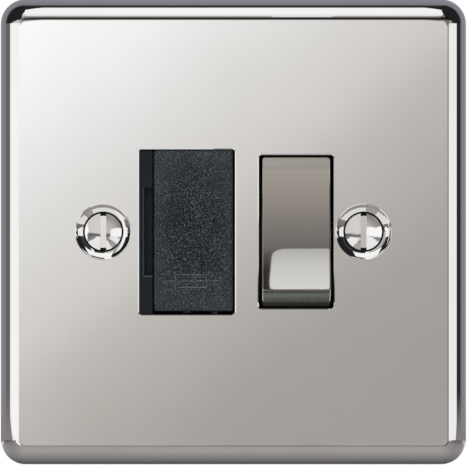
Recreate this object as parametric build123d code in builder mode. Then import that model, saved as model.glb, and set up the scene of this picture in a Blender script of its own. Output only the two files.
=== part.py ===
from build123d import *
import os
from math import cos, hypot, radians, sin, sqrt

# Switched fused connection unit: a one-gang wall plate that holds a hinged fuse carrier and a rocker switch.
# The wall is the plane y = 0. The unit faces -Y, +Z is up and +X is right as the user sees it.
# Heights are measured from the wall towards the user: height h lies at y = -h. All sizes are millimetres.

os.makedirs("parts", exist_ok=True)

# Pressed plate
plate_size = 86.0
plate_depth = 6.5
sheet = 0.8
plate_corner = 4.6
edge_roll = 3.5
carrier_open_w = 17.7
rocker_open_w = 13.8
rocker_open_h = 28.3
mullion = 4.37
left_land = 1.51
right_land = 0.42
aperture_corner = 0.5
lead_in_w = 0.2
lead_in_depth = 0.07

# Fixing screws and the dimples that they sit in
dimple_r = 5.1
dimple_depth = 0.75
dimple_bow = 0.1
dimple_round = 0.3
dimple_back_shift = 1.0
head_r = 3.4
head_rise = 0.45
ring_gap = 0.3
shank_r = 1.75
shank_gap = 0.25
neck_r = 1.35
neck_reach = 0.4
seat_gap = 0.05
screw_length = 30.0
screw_slot_w = 1.1
screw_slot_depth = 0.9

# Front moulding
flange_t = 2.0
well_wall = 1.2
well_gap = 0.15
well_depth = 5.2
strip_w = 2.4
strip_fit = 0.08
strip_top_gap = 0.4
strip_recess = 0.15
pry_w = 1.4
pry_h = 16.2
pry_depth = 1.6
pry_chamfer = 0.35

# Rocker
rocker_axis_h = 0.78
rocker_tilt = 10.5
rocker_side_gap = 0.61
rocker_end_gap = 0.13
rocker_well_gap = 0.35
rocker_bearing_wall = 1.0
lip_inset = 1.71
rocker_dish = 1.2
rocker_wall = 1.3
rocker_edge = 0.2
rocker_corner = 0.5
skirt_angle = 6.0
axle_r = 1.25
axle_gap = 0.05
axle_lobe_r = 2.3
plunger_tube_r = 1.85
plunger_tube_back = 4.0
plunger_r = 1.1
plunger_nose = 0.7
plunger_gap = 0.05
plunger_front = 1.0
plunger_reach = 9.0
plunger_roof = 2.0
spring_wire = 0.3
spring_turns = 4
spring_gap = 0.05

# See-saw contacts and the straps on the housing floor
pole_pitch = 6.6
floor_h = -16.0
strap_t = 0.8
strap_w = 4.2
strap_gap = 0.8
link_w = 3.4
touch_gap = 0.12
seesaw_arm = 8.0
seesaw_w = 3.6
ear_gap = 0.2
ear_w = 0.6
ear_rise = 1.0
rivet_r = 1.4
rivet_head = 0.5
rivet_shank_r = 0.7
rivet_place = 6.2

# Cartridge fuse and its carrier
fuse_len = 25.4
fuse_r = 3.175
barrel_r = 2.95
cap_len = 5.6
cap_end = 0.4
door_gap = 0.27
hinge_side_gap = 0.31
door_top_gap = 0.2
door_bottom_gap = 0.6
door_proud = 0.3
door_t = 2.2
door_edge = 0.25
door_corner = 0.5
hinge_round = 0.8
pivot_inset = 3.4
pin_r = 0.6
pin_gap = 0.05
pin_hold = 1.1
fuse_offset_x = 5.2
fuse_offset_h = 4.3
cradle_gap = 0.05
cradle_wall = 0.9
cradle_rib = 3.0
cradle_place = 4.0
cradle_mouth = 4.6
cradle_neck = 5.4
cheek_t = 1.35
cheek_gap = 0.25
cheek_room = 0.9
cheek_back = 2.2
nib_w = 1.4
nib_rise = 0.35
clip_gap = 0.1
clip_t = 0.5
clip_w = 4.2
clip_start_angle = 5.0
clip_end_angle = -105.0
clip_post_x = 2.25

# Terminals
terminal_w = 5.2
terminal_len = 8.0
terminal_height = 7.2
terminal_edge = 0.4
conductor_r = 1.9
conductor_wall = 0.7
conductor_depth = 7.0
clamp_r = 1.6
clamp_head_r = 2.5
clamp_head_t = 1.6
clamp_slot_w = 0.8
clamp_slot_depth = 0.7
thread_gap = 0.05
piece_gap = 0.3

# Rear housing, its screws, and the studs that hold the moulding to the plate
housing_wall = 1.2
rear_wall = 1.8
housing_corner = 2.0
housing_fit = 0.2
rib_t = 0.8
rib_top_h = -6.5
entry_gap = 0.4
post_r = 2.3
post_inset = 4.6
tapping_r = 1.25
tapping_bite = 1.6
tapping_head_r = 2.3
tapping_head_t = 1.1
tapping_sink = 0.1
stud_r = 1.5
stud_gap = 0.2
stud_x = 15.0
stud_tail = 1.2
nut_af = 5.5
nut_t = 2.4
flange_margin = 0.5
earth_foot = 3.6

# Places that follow from the sizes above
screw_x = dimple_r + (left_land + carrier_open_w + mullion + rocker_open_w + right_land) / 2
carrier_x = -screw_x + dimple_r + left_land + carrier_open_w / 2
rocker_x = screw_x - dimple_r - right_land - rocker_open_w / 2
carrier_left = carrier_x - carrier_open_w / 2
carrier_right = carrier_x + carrier_open_w / 2
carrier_half_h = fuse_len / 2 + cheek_gap + cheek_t + cheek_room
rocker_half_h = rocker_open_h / 2
inner_h = plate_depth - sheet
flange_h = inner_h - flange_t
seat_h = plate_depth - dimple_depth
rear_h = floor_h - rear_wall

rocker_w = rocker_open_w - 2 * rocker_side_gap
rocker_end_r = hypot(rocker_half_h - rocker_end_gap, inner_h - rocker_axis_h)
lip_v = rocker_half_h - lip_inset
lip_u = sqrt(rocker_end_r**2 - lip_v**2)
rocker_well_half_w = rocker_open_w / 2 + well_gap
rocker_well_half_h = rocker_end_r + rocker_well_gap
live_x = rocker_x - pole_pitch / 2
neutral_x = rocker_x + pole_pitch / 2
plunger_seat_u = lip_u - rocker_dish - plunger_roof
seesaw_h = rocker_axis_h - plunger_reach - touch_gap - strap_t
knife_h = seesaw_h - touch_gap
fixed_h = seesaw_h - 2 * rivet_head - touch_gap

strip_left = carrier_left + strip_fit
strip_right = strip_left + strip_w
door_left = strip_right + door_gap
door_right = carrier_right - hinge_side_gap
door_top = carrier_half_h - door_top_gap
door_bottom = -carrier_half_h + door_bottom_gap
door_h = plate_depth + door_proud
door_back_h = door_h - door_t
pivot_x = door_right - pivot_inset
pivot_h = inner_h - pin_r - pin_gap
fuse_x = pivot_x - fuse_offset_x
fuse_h = pivot_h - fuse_offset_h
clip_z = (fuse_len - cap_len) / 2
post_x = fuse_x + clip_post_x
carrier_well_half_h = carrier_half_h + well_gap
carrier_well_right = carrier_right + well_gap

well_half_h = max(carrier_well_half_h, rocker_well_half_h) + well_wall
riser_z = well_half_h + piece_gap
terminal_start = riser_z + strap_t + piece_gap
terminal_end = terminal_start + terminal_len
terminal_z = (terminal_start + terminal_end) / 2
terminal_h = floor_h + strap_t
conductor_h = terminal_h + terminal_height - conductor_wall - conductor_r
earth_supply_x = (post_x + neutral_x) / 2
earth_load_x = post_x
link_x = live_x - strap_w - strap_gap

housing_in_x = rocker_x + rocker_well_half_w + rocker_bearing_wall + housing_fit
housing_in_z = terminal_end + piece_gap
housing_x = housing_in_x + housing_wall
housing_z = housing_in_z + housing_wall
stud_z = housing_z + nut_af / 2 + flange_margin
flange_z = stud_z + nut_af / 2 + flange_margin
post_places = [
    (-housing_in_x + post_inset, terminal_z),
    (-housing_in_x + post_inset, -terminal_z),
    ((earth_supply_x + neutral_x) / 2, terminal_z),
    ((earth_load_x + live_x) / 2, -terminal_z),
]
stud_places = [(x, z) for x in (-stud_x, stud_x) for z in (-stud_z, stud_z)]
terminal_places = {
    "live_supply": (post_x, 1),
    "earth_supply": (earth_supply_x, 1),
    "neutral_supply": (neutral_x, 1),
    "live_load": (live_x, -1),
    "earth_load": (earth_load_x, -1),
    "neutral_load": (neutral_x, -1),
}


def front(h, x=0.0, z=0.0):
    """Plane at height h that faces the user: local x is +X and local y is +Z."""
    return Plane(origin=(x, -h, z), x_dir=(1, 0, 0), z_dir=(0, -1, 0))


def level(z, x=0.0):
    """Level plane at z: local x is +X and local y is the height before the wall. It faces down."""
    return Plane(origin=(x, 0, z), x_dir=(1, 0, 0), z_dir=(0, 0, -1))


def side(x):
    """Upright plane at x: local x is the height before the wall and local y is +Z."""
    return Plane(origin=(x, 0, 0), x_dir=(0, -1, 0), z_dir=(-1, 0, 0))


def spindle(x, z):
    """Axis that runs from the wall to the user."""
    return Axis((x, 0, z), (0, -1, 0))


def tilted(x, h, angle):
    """Side plane through a cross axis at height h, leaning back at the top by an angle in degrees."""
    lean = radians(angle)
    return Plane(origin=(x, -h, 0), x_dir=(0, -cos(lean), sin(lean)), z_dir=(-1, 0, 0))


def end_on(x, z, way):
    """Plane across a conductor at z, facing out at the top (way 1) or at the bottom (way -1)."""
    return Plane(origin=(x, -conductor_h, z), x_dir=(1, 0, 0), z_dir=(0, 0, way))


def keep(piece, label):
    """Label a finished piece and write it."""
    piece.label = label
    export_step(piece, f"parts/{label}.step")


# Front plate: a drawn tray with a rolled edge, pressed screw dimples and two pierced apertures.
dimple_hole_r = shank_r + shank_gap
dimple_seat_r = head_r + ring_gap
dimple_neck_h = seat_h - (dimple_seat_r - dimple_hole_r)
bowl_run = dimple_r - dimple_seat_r
bowl_len = hypot(bowl_run, dimple_depth)
bowl_mid_r = (dimple_seat_r + dimple_r) / 2 + dimple_bow * dimple_depth / bowl_len
bowl_mid_h = (seat_h + plate_depth) / 2 - dimple_bow * bowl_run / bowl_len
dimple_back_r = dimple_r + (dimple_back_shift - sheet) * bowl_run / dimple_depth

with BuildPart() as tray_hollow:
    with BuildSketch(front(0)):
        RectangleRounded(plate_size - 2 * sheet, plate_size - 2 * sheet, plate_corner - sheet)
    extrude(amount=inner_h)
    fillet(tray_hollow.faces().sort_by(Axis.Y)[0].edges(), edge_roll - sheet)

with BuildPart() as front_plate:
    with BuildSketch(front(0)):
        RectangleRounded(plate_size, plate_size, plate_corner)
    extrude(amount=plate_depth)
    fillet(front_plate.faces().sort_by(Axis.Y)[0].edges(), edge_roll)
    add(tray_hollow.part, mode=Mode.SUBTRACT)
    for x in (-screw_x, screw_x):
        with BuildSketch(level(0, x)):
            with BuildLine():
                Polyline(
                    (0, dimple_neck_h - dimple_back_shift),
                    (dimple_hole_r, dimple_neck_h - dimple_back_shift),
                    (dimple_seat_r, seat_h - dimple_back_shift),
                    (dimple_back_r, inner_h),
                    (0, inner_h),
                    close=True,
                )
            make_face()
        revolve(axis=spindle(x, 0))
        with BuildSketch(level(0, x)):
            with BuildLine():
                Polyline(
                    (dimple_r, plate_depth),
                    (0, plate_depth),
                    (0, 0),
                    (dimple_hole_r, 0),
                    (dimple_hole_r, dimple_neck_h),
                    (dimple_seat_r, seat_h),
                )
                ThreePointArc((dimple_seat_r, seat_h), (bowl_mid_r, bowl_mid_h), (dimple_r, plate_depth))
            make_face()
        revolve(axis=spindle(x, 0), mode=Mode.SUBTRACT)
    with BuildSketch(front(0)):
        with Locations((carrier_x, 0)):
            RectangleRounded(carrier_open_w, 2 * carrier_half_h, aperture_corner)
        with Locations((rocker_x, 0)):
            RectangleRounded(rocker_open_w, rocker_open_h, aperture_corner)
    extrude(amount=plate_depth, mode=Mode.SUBTRACT)
    plate_face = front_plate.faces().sort_by(Axis.Y)[0]
    fillet([wire.edges()[0] for wire in plate_face.inner_wires() if len(wire.edges()) == 1], dimple_round)
    plate_face = front_plate.faces().sort_by(Axis.Y)[0]
    aperture_rims = [wire for wire in plate_face.inner_wires() if len(wire.edges()) > 1]
    rim_edges = [edge for wire in aperture_rims for edge in wire.edges()]
    chamfer(rim_edges, lead_in_w, lead_in_depth, reference=plate_face)
keep(front_plate.part, "front_plate")

# Fixing screws: raised countersunk heads with an upright slot, and a tapered neck through the plate.
head_h = seat_h - ring_gap + seat_gap
thread_h = dimple_neck_h - dimple_back_shift - neck_reach
dome_r = (head_r**2 + head_rise**2) / (2 * head_rise)
dome_mid_h = head_h + head_rise - dome_r + sqrt(dome_r**2 - head_r**2 / 4)
with BuildPart() as mounting_screws:
    for x in (-screw_x, screw_x):
        with BuildSketch(level(0, x)):
            with BuildLine():
                Polyline(
                    (0, head_h + head_rise),
                    (0, head_h - screw_length),
                    (shank_r, head_h - screw_length),
                    (shank_r, thread_h),
                    (neck_r, thread_h),
                    (shank_r, head_h - head_r + shank_r),
                    (head_r, head_h),
                )
                ThreePointArc((head_r, head_h), (head_r / 2, dome_mid_h), (0, head_h + head_rise))
            make_face()
        revolve(axis=spindle(x, 0))
        with BuildSketch(front(head_h + head_rise, x)):
            Rectangle(screw_slot_w, 2 * head_r)
        extrude(amount=-screw_slot_depth, mode=Mode.SUBTRACT)
keep(mounting_screws.part, "mounting_screws")

# Front moulding: a flange behind the plate, two wells, and the pry strip that shows in the left aperture.
strip_z0 = -carrier_half_h + strip_fit
strip_z1 = carrier_half_h - strip_top_gap
well_back_h = flange_h - well_depth
with BuildPart() as front_moulding:
    with BuildSketch(front(flange_h)):
        RectangleRounded(2 * housing_x, 2 * flange_z, housing_corner)
    extrude(amount=flange_t)
    with BuildSketch(front(well_back_h)):
        with Locations(((strip_left + carrier_well_right) / 2, 0)):
            Rectangle(
                carrier_well_right - strip_left + 2 * well_wall,
                2 * (carrier_well_half_h + well_wall),
            )
        with Locations((rocker_x, 0)):
            Rectangle(
                2 * (rocker_well_half_w + rocker_bearing_wall),
                2 * (rocker_well_half_h + well_wall),
            )
    extrude(amount=well_depth)
    with BuildSketch(front(flange_h)):
        with Locations(((strip_left + strip_right) / 2, (strip_z0 + strip_z1) / 2)):
            Rectangle(strip_w, strip_z1 - strip_z0)
    extrude(amount=plate_depth - strip_recess - flange_h)
    with BuildSketch(front(well_back_h)):
        with Locations(((strip_right + carrier_well_right) / 2, 0)):
            Rectangle(carrier_well_right - strip_right, 2 * carrier_well_half_h)
        with Locations((rocker_x, 0)):
            Rectangle(2 * rocker_well_half_w, 2 * rocker_well_half_h)
    extrude(amount=inner_h - well_back_h, mode=Mode.SUBTRACT)
    with BuildSketch(front(plate_depth - strip_recess)):
        with Locations((strip_right - pry_w / 2, 0)):
            Rectangle(pry_w, pry_h)
    extrude(amount=-pry_depth, mode=Mode.SUBTRACT)
    with BuildSketch(level(-pry_h / 2)):
        with BuildLine():
            Polyline(
                (strip_right - pry_w, plate_depth - strip_recess - pry_chamfer),
                (strip_right - pry_w, plate_depth - strip_recess),
                (strip_right - pry_w - pry_chamfer, plate_depth - strip_recess),
                close=True,
            )
        make_face()
    extrude(amount=-pry_h, mode=Mode.SUBTRACT)
    with BuildSketch(front(inner_h)):
        with Locations((pivot_x, 0)):
            Rectangle(2 * (pin_r + pin_gap), 2 * (carrier_well_half_h + pin_hold + pin_gap))
    extrude(amount=-pin_r - pin_gap, mode=Mode.SUBTRACT)
    with BuildSketch(level(0)):
        with Locations((pivot_x, pivot_h)):
            Circle(pin_r + pin_gap)
    extrude(amount=carrier_well_half_h + pin_hold + pin_gap, both=True, mode=Mode.SUBTRACT)
    with BuildSketch(side(rocker_x)):
        with Locations((rocker_axis_h, 0)):
            Circle(axle_r + axle_gap)
    extrude(amount=rocker_well_half_w + rocker_bearing_wall, both=True, mode=Mode.SUBTRACT)
    with BuildSketch(front(flange_h)):
        with Locations((-screw_x, 0), (screw_x, 0)):
            Circle(dimple_back_r + piece_gap)
        with Locations(*stud_places):
            Circle(stud_r + stud_gap)
        for x, way in ((earth_supply_x, 1), (earth_load_x, -1)):
            with Locations((x, way * (riser_z + (strap_t + earth_foot) / 2))):
                Rectangle(strap_w + 2 * piece_gap, strap_t + earth_foot + piece_gap)
    extrude(amount=flange_t, mode=Mode.SUBTRACT)
    with BuildSketch(front(flange_h)):
        with Locations(*post_places):
            Circle(tapping_r + thread_gap)
    extrude(amount=tapping_bite, mode=Mode.SUBTRACT)
keep(front_moulding.part, "front_moulding")

# Rear housing: an open box with a divider between the poles, ribs between the terminals, posts for its
# screws, an entry for each conductor and a hole over each clamp screw.
with BuildPart() as rear_housing:
    with BuildSketch(front(rear_h)):
        RectangleRounded(2 * housing_x, 2 * housing_z, housing_corner)
    extrude(amount=flange_h - rear_h)
    with BuildSketch(front(floor_h)):
        Rectangle(2 * housing_in_x, 2 * housing_in_z)
    extrude(amount=flange_h - floor_h, mode=Mode.SUBTRACT)
    with BuildSketch(front(floor_h)):
        with Locations((rocker_x, 0)):
            Rectangle(rib_t, 2 * housing_in_z)
        for x, way in terminal_places.values():
            for edge in (-1, 1):
                rib_x = x + edge * (pole_pitch / 2)
                with Locations((rib_x, way * (terminal_z + piece_gap / 2))):
                    Rectangle(rib_t, terminal_len + piece_gap)
    extrude(amount=rib_top_h - floor_h)
    with BuildSketch(front(floor_h)):
        with Locations(*post_places):
            Circle(post_r)
    extrude(amount=flange_h - floor_h)
    with BuildSketch(front(rear_h)):
        with Locations(*post_places):
            Circle(tapping_r + thread_gap)
    extrude(amount=flange_h - rear_h, mode=Mode.SUBTRACT)
    with BuildSketch(front(rear_h)):
        with Locations(*post_places):
            Circle(tapping_head_r + piece_gap)
    extrude(amount=tapping_head_t + tapping_sink, mode=Mode.SUBTRACT)
    with BuildSketch(front(rear_h)):
        for x, way in terminal_places.values():
            with Locations((x, way * terminal_z)):
                Circle(clamp_head_r + piece_gap)
    extrude(amount=rear_wall, mode=Mode.SUBTRACT)
    for x, way in terminal_places.values():
        with BuildSketch(end_on(x, way * housing_in_z, way)):
            Rectangle(2 * (conductor_r + entry_gap), 2 * (conductor_r + entry_gap))
        extrude(amount=housing_wall, mode=Mode.SUBTRACT)
keep(rear_housing.part, "rear_housing")

# Rocker: dished front, ends turned about its axis, hollow back, side lobes with stub axles and two plunger
# tubes. Its rest is the off position: the top is pressed in and the bottom stands proud.
rocker_plane = tilted(rocker_x, rocker_axis_h, rocker_tilt)
rocker_out = rocker_plane.x_dir
skirt_u = rocker_end_r * sin(radians(skirt_angle))
skirt_v = rocker_end_r * cos(radians(skirt_angle))
hollow_r = rocker_end_r - rocker_wall
hollow_u = lip_u - rocker_dish
hollow_v = sqrt(hollow_r**2 - hollow_u**2)
axle_len = rocker_side_gap + well_gap + rocker_bearing_wall - axle_gap


def rocker_normal(x, u):
    """Plane across the rocker's own front-to-back direction, u in front of its axis."""
    return Plane(origin=Vector(x, -rocker_axis_h, 0) + rocker_out * u, x_dir=(1, 0, 0), z_dir=rocker_out)


def end_arc(radius, from_u, to_u, way):
    """Arc about the rocker's axis, at its top (way 1) or bottom (way -1)."""
    points = [(u, way * sqrt(radius**2 - u**2)) for u in (from_u, (from_u + to_u) / 2, to_u)]
    return ThreePointArc(*points)


with BuildPart() as rocker:
    with BuildSketch(rocker_plane):
        with BuildLine():
            ThreePointArc((lip_u, lip_v), (lip_u - rocker_dish, 0), (lip_u, -lip_v))
            end_arc(rocker_end_r, lip_u, skirt_u, -1)
            Line((skirt_u, -skirt_v), (skirt_u, skirt_v))
            end_arc(rocker_end_r, skirt_u, lip_u, 1)
        make_face()
    extrude(amount=rocker_w / 2, both=True)
    side_faces = rocker.faces().filter_by(Axis.X)
    end_faces = rocker.faces().filter_by(GeomType.CYLINDER).sort_by(SortBy.AREA)[:2]
    side_edges = [edge for face in side_faces for edge in face.edges()]
    fillet([edge for face in end_faces for edge in face.edges() if edge in side_edges], rocker_corner)
    dished_face = rocker.faces().filter_by(GeomType.CYLINDER).sort_by(SortBy.AREA)[-1]
    fillet(dished_face.edges(), rocker_edge)
    with BuildSketch(rocker_plane):
        with BuildLine():
            ThreePointArc((hollow_u, hollow_v), (hollow_u - rocker_wall, 0), (hollow_u, -hollow_v))
            end_arc(hollow_r, hollow_u, skirt_u, -1)
            Line((skirt_u, -sqrt(hollow_r**2 - skirt_u**2)), (skirt_u, sqrt(hollow_r**2 - skirt_u**2)))
            end_arc(hollow_r, skirt_u, hollow_u, 1)
        make_face()
    extrude(amount=rocker_w / 2 - rocker_wall, both=True, mode=Mode.SUBTRACT)
    for way in (-1, 1):
        with BuildSketch(rocker_plane.offset(way * rocker_w / 2)):
            Circle(axle_lobe_r)
        extrude(amount=-way * rocker_wall)
        with BuildSketch(rocker_plane.offset(way * rocker_w / 2)):
            Circle(axle_r)
        extrude(amount=way * axle_len)
    for x in (live_x, neutral_x):
        with BuildSketch(rocker_normal(x, -plunger_tube_back)):
            Circle(plunger_tube_r)
        extrude(amount=plunger_tube_back + lip_u - rocker_dish - rocker_wall / 2)
        with BuildSketch(rocker_normal(x, -plunger_tube_back)):
            Circle(plunger_r + plunger_gap)
        extrude(amount=plunger_tube_back + plunger_seat_u, mode=Mode.SUBTRACT)
keep(rocker.part, "rocker")


def plunger(x, label):
    """Taper-nosed pin that slides in a tube of the rocker."""
    with BuildPart() as pin:
        with BuildSketch(rocker_normal(x, -plunger_front)):
            Circle(plunger_r)
        extrude(amount=-(plunger_reach - plunger_front))
        nose = pin.edges().filter_by(GeomType.CIRCLE).sort_by(Axis.Y)[-1]
        chamfer(nose, plunger_nose)
    keep(pin.part, label)


def plunger_spring(x, label):
    """Coil spring between the tube's end and the plunger."""
    length = plunger_seat_u + plunger_front - 2 * spring_gap - spring_wire
    base = rocker_normal(x, -plunger_front + spring_gap + spring_wire / 2)
    with BuildPart() as coil:
        with BuildLine():
            path = Helix(
                pitch=length / spring_turns,
                height=length,
                radius=plunger_r - spring_wire,
                center=base.origin,
                direction=base.z_dir,
            )
        with BuildSketch(Plane(origin=path @ 0, z_dir=path % 0)):
            RegularPolygon(spring_wire / 2, 3)
        sweep(path=path, is_frenet=True)
    keep(coil.part, label)


plunger(live_x, "plunger_live")
plunger(neutral_x, "plunger_neutral")
plunger_spring(live_x, "plunger_spring_live")
plunger_spring(neutral_x, "plunger_spring_neutral")


def moving_contact(x, pole):
    """See-saw strip with its contact rivet. At rest the bottom arm lies back and the top arm stands open."""
    bend = radians(rocker_tilt)
    plane = tilted(x, seesaw_h, -rocker_tilt)
    tip = (seesaw_arm * sin(bend), seesaw_arm * cos(bend))
    top_tip = (tip[0] + strap_t * cos(bend), tip[1] - strap_t * sin(bend))
    arm_out = plane.x_dir * cos(bend) - plane.y_dir * sin(bend)
    arm_up = plane.x_dir * sin(bend) + plane.y_dir * cos(bend)
    rivet_plane = Plane(origin=plane.origin + arm_up * rivet_place, x_dir=(1, 0, 0), z_dir=arm_out)
    with BuildPart() as strip:
        with BuildSketch(plane):
            with BuildLine():
                Polyline(
                    (0, 0),
                    tip,
                    top_tip,
                    (strap_t / cos(bend), 0),
                    (top_tip[0], -top_tip[1]),
                    (tip[0], -tip[1]),
                    close=True,
                )
            make_face()
        extrude(amount=seesaw_w / 2, both=True)
        with BuildSketch(rivet_plane):
            Circle(rivet_shank_r)
        extrude(amount=strap_t, mode=Mode.SUBTRACT)
    keep(strip.part, f"moving_contact_{pole}")
    with BuildPart() as rivet:
        with BuildSketch(rivet_plane):
            Circle(rivet_shank_r)
        extrude(amount=strap_t)
        with BuildSketch(rivet_plane):
            Circle(rivet_r)
        extrude(amount=-rivet_head)
    keep(rivet.part, f"moving_rivet_{pole}")


moving_contact(live_x, "live")
moving_contact(neutral_x, "neutral")

# Fixed contacts: a strap on the housing floor, a riser and a shelf that carries the rivet.
fixed_rivet_z = rivet_place
shelf_tip = fixed_rivet_z - rivet_r
riser_in = fixed_rivet_z + rivet_r + piece_gap
riser_out = riser_in + strap_t


def shelf_profile(end_z):
    """Outline of a strap that runs along the floor to end_z, with its riser and shelf."""
    return Polyline(
        (floor_h, end_z),
        (floor_h, riser_in),
        (fixed_h - strap_t, riser_in),
        (fixed_h - strap_t, shelf_tip),
        (fixed_h, shelf_tip),
        (fixed_h, riser_out),
        (terminal_h, riser_out),
        (terminal_h, end_z),
        close=True,
    )


def fuse_clip(z):
    """Fuse clip at z: a sprung leaf round the far side of the cap, on an upright post."""
    leaf_r = fuse_r + clip_gap
    reach = 2 * (leaf_r + clip_t)
    step = (clip_end_angle - clip_start_angle) / 3
    span = [clip_start_angle + turn * step for turn in range(4)]
    with BuildPart() as clip:
        with BuildSketch(level(z, fuse_x)):
            with BuildLine():
                Polyline(
                    (0, fuse_h),
                    *[(reach * cos(radians(a)), fuse_h + reach * sin(radians(a))) for a in span],
                    close=True,
                )
            make_face()
            with Locations((0, fuse_h)):
                Circle(leaf_r + clip_t, mode=Mode.INTERSECT)
            with Locations((clip_post_x, (floor_h + fuse_h - leaf_r / 2) / 2)):
                Rectangle(strap_t, fuse_h - leaf_r / 2 - floor_h)
            with Locations((0, fuse_h)):
                Circle(leaf_r, mode=Mode.SUBTRACT)
        extrude(amount=clip_w / 2, both=True)
    return clip.part


supply_clip = fuse_clip(clip_z)
switch_clip = fuse_clip(-clip_z)

with BuildPart() as neutral_supply_bar:
    with BuildSketch(side(neutral_x)):
        with BuildLine():
            shelf_profile(terminal_end)
        make_face()
    extrude(amount=strap_w / 2, both=True)
    with BuildSketch(front(floor_h, neutral_x)):
        with Locations((0, terminal_z)):
            Circle(clamp_r + shank_gap)
    extrude(amount=strap_t, mode=Mode.SUBTRACT)
    with BuildSketch(front(fixed_h, neutral_x, fixed_rivet_z)):
        Circle(rivet_shank_r)
    extrude(amount=-strap_t, mode=Mode.SUBTRACT)
keep(neutral_supply_bar.part, "neutral_supply_bar")

with BuildPart() as live_supply_clip:
    add(supply_clip)
    with BuildSketch(front(floor_h)):
        with Locations((post_x, (clip_z - clip_w / 2 + terminal_end) / 2)):
            Rectangle(strap_w, terminal_end - clip_z + clip_w / 2)
        with Locations((post_x, terminal_z)):
            Circle(clamp_r + shank_gap, mode=Mode.SUBTRACT)
    extrude(amount=strap_t)
keep(live_supply_clip.part, "live_supply_clip")

with BuildPart() as live_switch_link:
    add(switch_clip)
    with BuildSketch(front(floor_h)):
        link_left = post_x - strap_t / 2
        link_right = link_x + strap_w / 2
        with Locations(((link_left + link_right) / 2, -clip_z)):
            Rectangle(link_right - link_left, clip_w)
        with Locations((link_x, (riser_in + link_w - clip_z - clip_w / 2) / 2)):
            Rectangle(strap_w, riser_in + link_w + clip_z + clip_w / 2)
        with Locations(((link_x + live_x) / 2, riser_in + link_w / 2)):
            Rectangle(live_x - link_x + strap_w, link_w)
    extrude(amount=strap_t)
    with BuildSketch(side(live_x)):
        with BuildLine():
            shelf_profile(riser_in + link_w)
        make_face()
    extrude(amount=strap_w / 2, both=True)
    with BuildSketch(front(fixed_h, live_x, fixed_rivet_z)):
        Circle(rivet_shank_r)
    extrude(amount=-strap_t, mode=Mode.SUBTRACT)
keep(live_switch_link.part, "live_switch_link")

with BuildPart() as fixed_rivets:
    with BuildSketch(front(fixed_h)):
        with Locations((live_x, fixed_rivet_z), (neutral_x, fixed_rivet_z)):
            Circle(rivet_r)
    extrude(amount=rivet_head)
    with BuildSketch(front(fixed_h)):
        with Locations((live_x, fixed_rivet_z), (neutral_x, fixed_rivet_z)):
            Circle(rivet_shank_r)
    extrude(amount=-strap_t)
keep(fixed_rivets.part, "fixed_rivets")


def load_bar(x, pole):
    """Strap from a load terminal to the bracket that the see-saw rocks on, with an ear on each side."""
    ear_half = seesaw_w / 2 + ear_gap
    with BuildPart() as bar:
        with BuildSketch(side(x)):
            with BuildLine():
                Polyline(
                    (floor_h, -terminal_end),
                    (floor_h, strap_t / 2),
                    (knife_h, strap_t / 2),
                    (knife_h, -strap_t / 2),
                    (terminal_h, -strap_t / 2),
                    (terminal_h, -terminal_end),
                    close=True,
                )
            make_face()
        extrude(amount=strap_w / 2, both=True)
        with BuildSketch(level(0, x)):
            for way in (-1, 1):
                with Locations((way * (ear_half + ear_w / 2), knife_h)):
                    Rectangle(ear_w, 2 * ear_rise)
            with Locations((0, knife_h - ear_rise / 2)):
                Rectangle(2 * (ear_half + ear_w), ear_rise)
        extrude(amount=strap_t / 2, both=True)
        with BuildSketch(front(floor_h, x)):
            with Locations((0, -terminal_z)):
                Circle(clamp_r + shank_gap)
        extrude(amount=strap_t, mode=Mode.SUBTRACT)
    keep(bar.part, f"{pole}_load_bar")


load_bar(live_x, "live")
load_bar(neutral_x, "neutral")


def earth_strap(x, way, label):
    """Bent strap from under an earth terminal, past the wells, to a foot that is welded inside the plate."""
    with BuildPart() as strap:
        with BuildSketch(side(x)):
            with BuildLine():
                Polyline(
                    (floor_h, way * terminal_end),
                    (floor_h, way * riser_z),
                    (inner_h, way * riser_z),
                    (inner_h, way * (riser_z + strap_t + earth_foot)),
                    (inner_h - strap_t, way * (riser_z + strap_t + earth_foot)),
                    (inner_h - strap_t, way * (riser_z + strap_t)),
                    (terminal_h, way * (riser_z + strap_t)),
                    (terminal_h, way * terminal_end),
                    close=True,
                )
            make_face()
        extrude(amount=strap_w / 2, both=True)
        with BuildSketch(front(floor_h, x)):
            with Locations((0, way * terminal_z)):
                Circle(clamp_r + shank_gap)
        extrude(amount=strap_t, mode=Mode.SUBTRACT)
    keep(strap.part, label)


earth_strap(earth_supply_x, 1, "earth_strap_supply")
earth_strap(earth_load_x, -1, "earth_strap_load")


def terminal(x, way, label):
    """Pillar terminal: a conductor bore from its outer end and a tapped hole for its clamp screw."""
    with BuildPart() as block:
        with BuildSketch(front(terminal_h, x, way * terminal_z)):
            Rectangle(terminal_w, terminal_len)
        extrude(amount=terminal_height)
        fillet(block.edges().filter_by(Axis.Y), terminal_edge)
        with BuildSketch(end_on(x, way * terminal_end, way)):
            Circle(conductor_r)
        extrude(amount=-conductor_depth, mode=Mode.SUBTRACT)
        with BuildSketch(front(terminal_h, x, way * terminal_z)):
            Circle(clamp_r + thread_gap)
        extrude(amount=conductor_h - terminal_h, mode=Mode.SUBTRACT)
    keep(block.part, label)


for name, (x, way) in terminal_places.items():
    terminal(x, way, f"terminal_{name}")

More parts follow.
